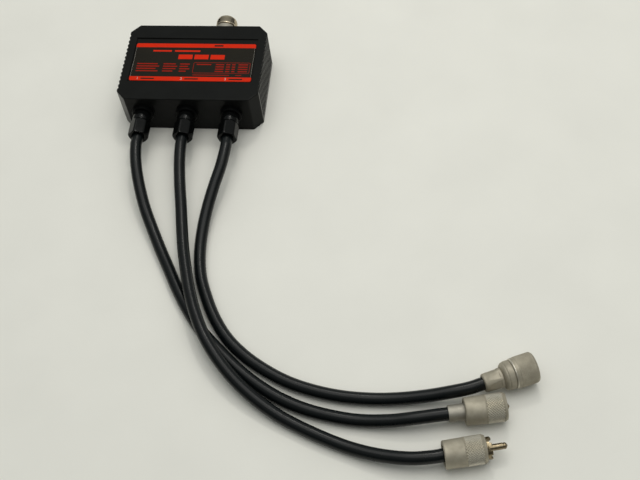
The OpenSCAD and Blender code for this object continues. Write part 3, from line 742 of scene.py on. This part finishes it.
class TRIPLEXER_OT_n_plug(bpy.types.Operator):
    """Builds the N plug: clamp sleeve, body with its collar and knurled coupling nut"""

    bl_idname = "triplexer.n_plug"
    bl_label = "N plug"

    def groove(self, bm):
        """Turns a fine groove into the collar."""
        place = on_plug(N_PLUG)
        along = place.inverted()
        axis = place.to_3x3() @ Vector((0.0, 0.0, 1.0))

        def outside(face):
            centre = along @ face.calc_center_median()
            outwards = (along.to_3x3() @ face.normal).dot((centre.x, centre.y, 0))
            return COLLAR_REAR < centre.z < COLLAR_FRONT and outwards > 0

        for step in (-GROOVE_WIDTH / 2, 0.0, GROOVE_WIDTH / 2):
            faces = [f for f in bm.faces if outside(f)]
            parts = {part for f in faces for part in (f, *f.edges, *f.verts)}
            cut = bmesh.ops.bisect_plane(
                bm, geom=list(parts), dist=1e-7, plane_no=axis,
                plane_co=place @ Vector((0.0, 0.0, GROOVE_PLACE + step)),
            )
            if step == 0.0:
                bottom = [v for v in cut["geom_cut"] if isinstance(v, bmesh.types.BMVert)]
        for v in bottom:
            point = along @ v.co
            v.co = place @ Vector((point.x * GROOVE_SHARE, point.y * GROOVE_SHARE, point.z))

    def nut(self, plugs):
        """The coupling nut: a smooth rim behind, a fine knurl in front and a thread inside."""
        rear, front = N_NUT_REAR, N_NUT_FRONT
        outer = N_NUT_DIAMETER / 2
        low, high = rear + 3.4, front - 1.6
        columns = diamonds(math.pi * N_NUT_DIAMETER, plugs.fine_pitch)
        count = diamonds(high - low, plugs.fine_pitch)
        bm = turned(
            [
                # The rounded rear rim
                (7.2, rear), (8.6, rear), *arc((8.6, rear + 0.9), 0.9, -80, 0, 6),
                (9.5, rear + 2.7), (9.55, rear + 3.1),
                # The band that gets the knurl, and the front lip
                *rows((outer, low), (outer, high), count), (9.75, front - 1.3), (9.5, front - 0.7),
                (8.9, front), (7.95, front), (7.55, front - 0.6),
                # The bore, and the groove for the snap ring
                (7.55, rear + 4.0), (8.2, rear + 4.0), (8.2, rear + 1.8), (7.2, rear + 1.8),
            ],
            columns,
        )
        knurl(bm, low, high, count, columns, plugs.fine_depth / MM, finish=0)
        # Handling has polished the rim's edge, and its lighter finish there paints a highlight
        # line
        for face in bm.faces:
            if rear + 0.1 < face.calc_center_median().z < rear + 0.9:
                face.material_index = 1
        pitch = plugs.thread_pitch / MM
        thread(bm, root=7.6, crest=7.2, pitch=pitch, start=rear + 4.6, turns=7.6)
        piece(
            "n_plug_nut", bm, "n_nut",
            ["Satin nickel plate", "Handled nickel plate, painted highlight"], "n_coupling_nut", on_plug(N_PLUG),
            crease=20,
        )

    def execute(self, context):
        for node in ("n_sleeve", "n_body"):
            bm = merged_copy(node)
            soften(bm, sharp_edges(bm), 0.14 * MM)
            if node == "n_body":
                self.groove(bm)
                # The thin shoulder between the collar and the nut
                shoulder = [(7.8, 18.0), (8.7, 18.0), (8.7, 18.6), (8.6, 18.7), (7.8, 18.7)]
                join(bm, turned(shoulder, steps=72), on_plug(N_PLUG))
            name = node.replace("n_", "n_plug_")
            piece(name, bm, "unit", ["Satin nickel plate"], node)
        self.nut(context.scene.triplexer_plugs)
        return {"FINISHED"}


class TRIPLEXER_OT_leads(bpy.types.Operator):
    """Lays the three leads from their glands to their plugs"""

    bl_idname = "triplexer.leads"
    bl_label = "Leads"

    def line(self, side, diameter):
        """The points of a lead: straight out of its gland, along its free run, into its plug."""
        x, height = GLAND_X[side] * MM, GLAND_HEIGHT * MM
        at, seat, _ = LEADS[side]
        plug = on_plug(at)
        start = [Vector((x, y * MM, height)) for y in (LEAD_START, GLAND_MOUTH, STRAIGHT_END)]
        run = [Vector((px * MM, py * MM, diameter * (0.5 + z))) for px, py, z in FREE_RUNS[side]]
        end = [plug @ Vector((0.0, 0.0, place)) for place in (*PLUG_APPROACH, seat)]
        return [*start, *run, *end]

    def cable(self, name, line, diameter):
        """A round cable on a smooth curve through the points of a line."""
        curve = bpy.data.curves.new(name, "CURVE")
        curve.dimensions = "3D"
        curve.bevel_depth = diameter / 2
        curve.bevel_resolution = 7
        curve.use_fill_caps = True
        curve.resolution_u = 12
        curve.render_resolution_u = 12
        spline = curve.splines.new("BEZIER")
        spline.bezier_points.add(len(line) - 1)
        for i, point in enumerate(spline.bezier_points):
            # A handle of a sixth of the way between the neighbours keeps the curve smooth
            way = (line[min(i + 1, len(line) - 1)] - line[max(i - 1, 0)]) / 6
            # On the floor the cable lies level
            if line[i].z < diameter / 2 + 0.01 * MM:
                way.z = 0.0
            point.co = line[i]
            point.handle_left = line[i] - way
            point.handle_right = line[i] + way
        curve.materials.append(bpy.data.materials["PVC cable jacket"])
        return bpy.data.objects.new(name, curve)

    def execute(self, context):
        diameter = context.scene.triplexer_leads.diameter
        for side, (_, _, length) in LEADS.items():
            lead = self.cable(f"{side}_lead", self.line(side, diameter), diameter)
            context.scene.collection.objects.link(lead)
            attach(lead, "unit")
            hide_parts(f"cable_{side}")
        return {"FINISHED"}


class TRIPLEXER_OT_case(bpy.types.Operator):
    """Builds the moulded case with its rounded edges, flutes and label recess"""

    bl_idname = "triplexer.case"
    bl_label = "Case"

    def execute(self, context):
        settings = context.scene.triplexer_case
        low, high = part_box("case_shell")
        label_low, label_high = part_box("label_plate")
        # The rim of the recess round the label, and the reach of the cut corners
        rim, corner = 5 * MM, 8 * MM
        bm = merged_copy("case_shell")

        def outer(edge):
            """Tells the top edge and the cut corners from the flutes and the recess."""
            a, b = (v.co for v in edge.verts)
            middle = (a + b) / 2
            if abs(a.z - b.z) > high.z - low.z - MM:
                return abs(middle.y) > high.y - corner
            over_label = all(label_low[i] - rim < middle[i] < label_high[i] + rim for i in (0, 1))
            return min(a.z, b.z) > high.z - 1e-5 and not over_label

        soften(bm, [e for e in sharp_edges(bm) if outer(e)], settings.edge_round, segments=3)
        soften(bm, sharp_edges(bm, 40), settings.lip_round)
        piece("case", bm, "unit", ["Moulded ABS"], "case_shell")
        return {"FINISHED"}


class TRIPLEXER_OT_label(bpy.types.Operator):
    """Builds the label: a black film with a red stripe along each long edge and plain bars"""

    bl_idname = "triplexer.label"
    bl_label = "Label"

    def film(self, width, depth, stripe):
        """The film about its centre, with its stripes and its side lines of painted reflection."""
        bm = bmesh.new()
        bmesh.ops.create_cube(bm, size=1.0)
        bmesh.ops.scale(bm, vec=(width, depth, 2 * FILM_TOP), verts=bm.verts)
        upright = [e for e in bm.edges if abs(e.verts[0].co.z - e.verts[1].co.z) > 0.1]
        soften(bm, upright, 1.3, segments=6)
        rim = [e for e in bm.edges if min(v.co.z for v in e.verts) > FILM_TOP - 0.01]
        soften(bm, rim, 0.12)
        side, inner = width / 2 - PAINTED_REFLECTION_MARGIN, depth / 2 - stripe
        lines = (-side, PAINTED_REFLECTION_WIDTH - side, side - PAINTED_REFLECTION_WIDTH, side)
        cuts = [((0, y, 0), (0, 1, 0)) for y in (-inner, inner)]
        cuts += [((x, 0, 0), (1, 0, 0)) for x in lines]
        for place, normal in cuts:
            bmesh.ops.bisect_plane(
                bm, geom=[*bm.verts, *bm.edges, *bm.faces], dist=1e-4, plane_co=place,
                plane_no=normal,
            )
        for face in bm.faces:
            centre = face.calc_center_median()
            if abs(centre.y) > inner:
                face.material_index = RED
            # The pale side lines are a painted reflection of the film's glossy edge, not print
            elif side - PAINTED_REFLECTION_WIDTH < abs(centre.x) < side:
                face.material_index = PALE_PRINT_AND_REFLECTION
        return bm

    def bar(self, bm, ends, middle, height, finish=RED, rise=PRINT_RISE):
        """Prints a bar on the film: its two ends, its middle and its height."""
        left, right = ends
        verts = bmesh.ops.create_cube(bm, size=1.0)["verts"]
        bmesh.ops.scale(bm, vec=(right - left, height, 2 * rise), verts=verts)
        bmesh.ops.translate(bm, vec=((left + right) / 2, middle, FILM_TOP), verts=verts)
        faces = {face for v in verts for face in v.link_faces}
        for face in faces:
            face.material_index = finish
        return faces

    def frame_line(self, bm, ends, middle, height):
        """Prints a thin frame with rounded corners."""
        faces = self.bar(bm, ends, middle, height, DULL_RED, FRAME_RISE)
        upright = [
            e for e in bm.edges
            if faces.issuperset(e.link_faces) and abs(e.calc_length() - 2 * FRAME_RISE) < 1e-4
        ]
        soften(bm, upright, 1.2, segments=4)
        level = FILM_TOP + FRAME_RISE
        top = [
            f for f in bm.faces
            if f.normal.z > 0.9 and abs(f.calc_center_median().z - level) < 1e-4
        ]
        bmesh.ops.inset_region(bm, faces=top, thickness=0.32, use_even_offset=True)
        for face in top:
            face.material_index = BLACK

    def number(self, bm, figure, x, y):
        """Prints a figure in the pale colour."""
        text = bpy.data.curves.new("port_number", "FONT")
        text.body = figure
        text.size = 3.2
        text.extrude = PRINT_RISE
        text.align_x = "CENTER"
        text.align_y = "CENTER"
        shape = bpy.data.objects.new("port_number", text)
        mesh = bpy.data.meshes.new_from_object(shape)
        mesh.transform(Matrix.Translation((x, y, FILM_TOP)))
        before = set(bm.faces)
        bm.from_mesh(mesh)
        for face in set(bm.faces) - before:
            face.material_index = PALE_PRINT_AND_REFLECTION
        bpy.data.objects.remove(shape)
        bpy.data.meshes.remove(mesh)
        bpy.data.curves.remove(text)

    def execute(self, context):
        low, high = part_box("label_plate")
        size = (high - low) / MM
        stripe = context.scene.triplexer_case.stripe_width / MM
        bm = self.film(size.x, size.y, stripe)
        # A heading, three broad bars, and bars in rows where a table would stand
        for ends in HEADING_BARS:
            self.bar(bm, ends, middle=10.7, height=1.5)
        for ends in BROAD_BARS:
            self.bar(bm, ends, middle=5.0, height=4.4)
        for middle, bars in LEFT_TABLE.items():
            for ends in bars:
                self.bar(bm, ends, middle, TABLE_BAR_HEIGHT, DULL_RED)
        # A frame round a second table with its own heading, and a line of bars at the foot
        self.frame_line(bm, (0.9, 42.9), middle=-5.4, height=10.4)
        self.bar(bm, (3.2, 14.0), middle=-2.2, height=1.0, finish=DULL_RED)
        for middle in RIGHT_TABLE_ROWS:
            for ends in RIGHT_TABLE_BARS:
                self.bar(bm, ends, middle, TABLE_BAR_HEIGHT, DULL_RED)
        for ends in FOOT_BARS:
            self.bar(bm, ends, middle=-12.4, height=0.6, finish=DULL_RED)
        # A dark bar on the stripe by the socket, and a number with a bar by each lead
        stripe_middle = size.y / 2 - stripe / 2
        self.bar(bm, (14.0, 20.5), stripe_middle, height=1.4, finish=BLACK)
        for figure, x in zip("123", GLAND_X.values()):
            number_x, ends = x - 5.0, (x - 2.5, x + 7.5)
            self.number(bm, figure, number_x, -stripe_middle)
            self.bar(bm, ends, -stripe_middle, height=1.1, finish=BLACK)
        films = [f"Printed film, {colour}" for colour in ("black", "red", "pale", "dull red")]
        piece(
            "label", bm, "unit", films, "label_plate",
            Matrix.Translation((low + high) / 2) @ Matrix.Scale(MM, 4),
        )
        return {"FINISHED"}


class TRIPLEXER_OT_glands(bpy.types.Operator):
    """Builds the three cable glands: a round flange on the wall and a hexagon nut on each"""

    bl_idname = "triplexer.glands"
    bl_label = "Glands"

    def execute(self, context):
        for side, x in GLAND_X.items():
            node = f"gland_body_{side}"
            bm = merged_copy(node)
            soften(bm, sharp_edges(bm), 0.07 * MM)
            piece(f"{side}_gland", bm, "unit", ["Grained polyamide"], node)
            bm = turned(
                [
                    # The rounded neck
                    (5.7, 4.2), (6.1, 4.2), *arc((-5.45, 7.3), 12.0, -14, 14, 10),
                    # The hexagon and its rounded mouth
                    *rows((6.25, 10.5), (7.25, 11.9), 6), *rows((7.3, 12.4), (7.3, 22.2), 4),
                    *arc((6.4, 22.4), 0.9, 10, 80, 6), (6.3, 23.3), (5.0, 23.4),
                    # The bore, narrow at the mouth
                    (4.6, 23.2), (4.5, 22.8), (4.5, 20.5), (5.7, 20.5),
                ],
                steps=72,
            )
            flats(bm, across=13.0, low=10.2, high=23.4, corner=103)
            piece(
                f"{side}_gland_nut", bm, "unit", ["Gloss polyamide"],
                f"gland_nut_{side}", on_wall(x, LEAD_WALL, tilt=90), crease=38,
            )
        return {"FINISHED"}


class TRIPLEXER_OT_socket(bpy.types.Operator):
    """Builds the antenna socket: a hexagon flange, a smooth barrel, a groove and a threaded end"""

    bl_idname = "triplexer.socket"
    bl_label = "Antenna socket"

    def execute(self, context):
        pitch = context.scene.triplexer_plugs.thread_pitch / MM
        # Where the polished end begins
        polished = 9.9
        bm = turned(
            [
                # The shank in the wall and the flange
                (3.4, -9.0), (6.0, -9.0), (6.0, 0.0), *rows((9.8, 0.0), (10.8, 0.5), 3),
                (10.8, 2.5), *rows((10.7, 2.6), (9.7, 3.0), 3),
                # The smooth barrel and the groove in front of it
                (7.7, 3.0), (7.9, 3.3), (7.9, 9.0), (7.7, 9.4), (7.1, 9.7), (7.0, 10.2),
                # The end that gets the thread, between two rounded lips
                *arc((7.0, 11.1), 0.9, -85, 0, 8), (7.6, 11.4), (7.6, 16.2), (7.5, 17.0),
                *arc((6.35, 17.05), 1.15, 5, 85, 8), (6.2, 18.2),
                # The bore
                (4.6, 18.2), (4.3, 17.9), (4.3, 9.2), (3.4, 9.2),
            ],
            steps=96,
        )
        flats(bm, across=19.0, low=0.0, high=3.0, corner=0)
        thread(bm, root=7.5, crest=7.94, pitch=pitch, start=11.3, turns=4.2)
        for face in bm.faces:
            face.material_index = int(face.calc_center_median().z < polished)
        piece(
            "socket", bm, "unit",
            ["Bright nickel plate", "Tumbled nickel plate"], "socket_body",
            on_wall(SOCKET_X, SOCKET_WALL, tilt=-90), crease=30,
        )
        return {"FINISHED"}


class TRIPLEXER_OT_inner_pieces(bpy.types.Operator):
    """Gives the CAD pieces their finishes; most of those that stay are inside"""

    bl_idname = "triplexer.inner_pieces"
    bl_label = "Inner pieces"

    def execute(self, context):
        for part in frame["record"]["subparts"]:
            node = frame["nodes"][part["node"]]
            for slot in node.material_slots:
                slot.material = bpy.data.materials[SLOT_FINISH[part["material_slot"]]]
        return {"FINISHED"}


class TRIPLEXER_OT_stage(bpy.types.Operator):
    """Lays the pale floor and sets the soft light"""

    bl_idname = "triplexer.stage"
    bl_label = "Stage"

    def floor(self, context, colour):
        """Lays the floor just below the object."""
        # A matte sheet: pale, with hardly any sheen
        surface(
            "Floor sheet", colour, grain=1.5, relief=0.02, rough=(0.8, 0.9), patch=60.0,
            spread=0.02, specular_ior_level=0.2,
        )
        bm = bmesh.new()
        bmesh.ops.create_grid(bm, x_segments=1, y_segments=1, size=FLOOR_SIZE)
        bmesh.ops.translate(bm, vec=(0.0, 0.0, -FLOOR_DROP), verts=bm.verts)
        mesh = bpy.data.meshes.new("floor")
        bm.to_mesh(mesh)
        bm.free()
        mesh.materials.append(bpy.data.materials["Floor sheet"])
        floor = bpy.data.objects.new("floor", mesh)
        context.scene.collection.objects.link(floor)

    def lamp(self, context, name, place, size, power, colour):
        """Hangs a rectangular lamp at a place, turned to the object."""
        data = bpy.data.lights.new(name, "AREA")
        data.shape = "RECTANGLE"
        data.size, data.size_y = size
        data.energy = power
        data.color = colour
        lamp = bpy.data.objects.new(name, data)
        context.scene.collection.objects.link(lamp)
        lamp.location = place
        way = Vector(LIGHT_AIM) - Vector(place)
        lamp.rotation_euler = way.to_track_quat("-Z", "Y").to_euler()

    def sky(self, context, low, high):
        """Makes the sky, whose strength rises towards its brightest part."""
        world = bpy.data.worlds.new("studio")
        world.use_nodes = True
        context.scene.world = world
        tree = world.node_tree
        sky = tree.nodes["Background"]
        sky.inputs["Color"].default_value = SKY_COLOUR
        way = add(tree, "ShaderNodeTexCoord", {}).outputs["Generated"]
        height = add(
            tree, "ShaderNodeVectorMath", {0: way, 1: SKY_BRIGHTEST}, operation="DOT_PRODUCT"
        )
        level = add(
            tree, "ShaderNodeMapRange",
            {"Value": height.outputs["Value"], "To Min": low, "To Max": high},
        )
        tree.links.new(level.outputs[0], sky.inputs["Strength"])

    def execute(self, context):
        stage = context.scene.triplexer_stage
        self.floor(context, stage.floor_colour)
        self.lamp(
            context, "key", place=(0.14, 0.40, 0.88), size=(0.1, 0.1),
            power=stage.key_power, colour=(1.0, 0.97, 0.9),
        )
        self.lamp(
            context, "fill", place=(0.2, 0.08, 1.2), size=(1.3, 1.1),
            power=stage.fill_power, colour=(1.0, 0.985, 0.95),
        )
        self.sky(context, stage.sky_low, stage.sky_high)
        context.scene.view_settings.view_transform = "Standard"
        return {"FINISHED"}


GROUPS = {
    "triplexer_case": CaseSettings,
    "triplexer_leads": LeadSettings,
    "triplexer_plugs": PlugSettings,
    "triplexer_stage": StageSettings,
}

OPERATORS = (
    TRIPLEXER_OT_finishes,
    TRIPLEXER_OT_camera,
    TRIPLEXER_OT_screw_plugs,
    TRIPLEXER_OT_n_plug,
    TRIPLEXER_OT_leads,
    TRIPLEXER_OT_case,
    TRIPLEXER_OT_label,
    TRIPLEXER_OT_glands,
    TRIPLEXER_OT_socket,
    TRIPLEXER_OT_inner_pieces,
    TRIPLEXER_OT_stage,
)


class TRIPLEXER_PT_panel(bpy.types.Panel):
    """Lists the triplexer's settings and the operators that build it"""

    bl_idname = "TRIPLEXER_PT_panel"
    bl_label = "Triplexer"
    bl_space_type = "VIEW_3D"
    bl_region_type = "UI"
    bl_category = "Triplexer"

    def draw(self, context):
        for pointer, group in GROUPS.items():
            box = self.layout.box()
            for name in group.__annotations__:
                box.prop(getattr(context.scene, pointer), name)
        for operator in OPERATORS:
            self.layout.operator(operator.bl_idname)


def register():
    for group in GROUPS.values():
        bpy.utils.register_class(group)
    for pointer, group in GROUPS.items():
        setattr(bpy.types.Scene, pointer, PointerProperty(type=group))
    for cls in (*OPERATORS, TRIPLEXER_PT_panel):
        bpy.utils.register_class(cls)


def unregister():
    for cls in reversed((*OPERATORS, TRIPLEXER_PT_panel)):
        bpy.utils.unregister_class(cls)
    for pointer, group in reversed(GROUPS.items()):
        delattr(bpy.types.Scene, pointer)
        bpy.utils.unregister_class(group)


def main():
    register()
    bpy.ops.triplexer.finishes()
    bpy.ops.triplexer.camera()
    bpy.ops.triplexer.screw_plugs()
    bpy.ops.triplexer.n_plug()
    bpy.ops.triplexer.leads()
    bpy.ops.triplexer.case()
    bpy.ops.triplexer.label()
    bpy.ops.triplexer.glands()
    bpy.ops.triplexer.socket()
    bpy.ops.triplexer.inner_pieces()
    bpy.ops.triplexer.stage()


if __name__ == "__main__":
    main()
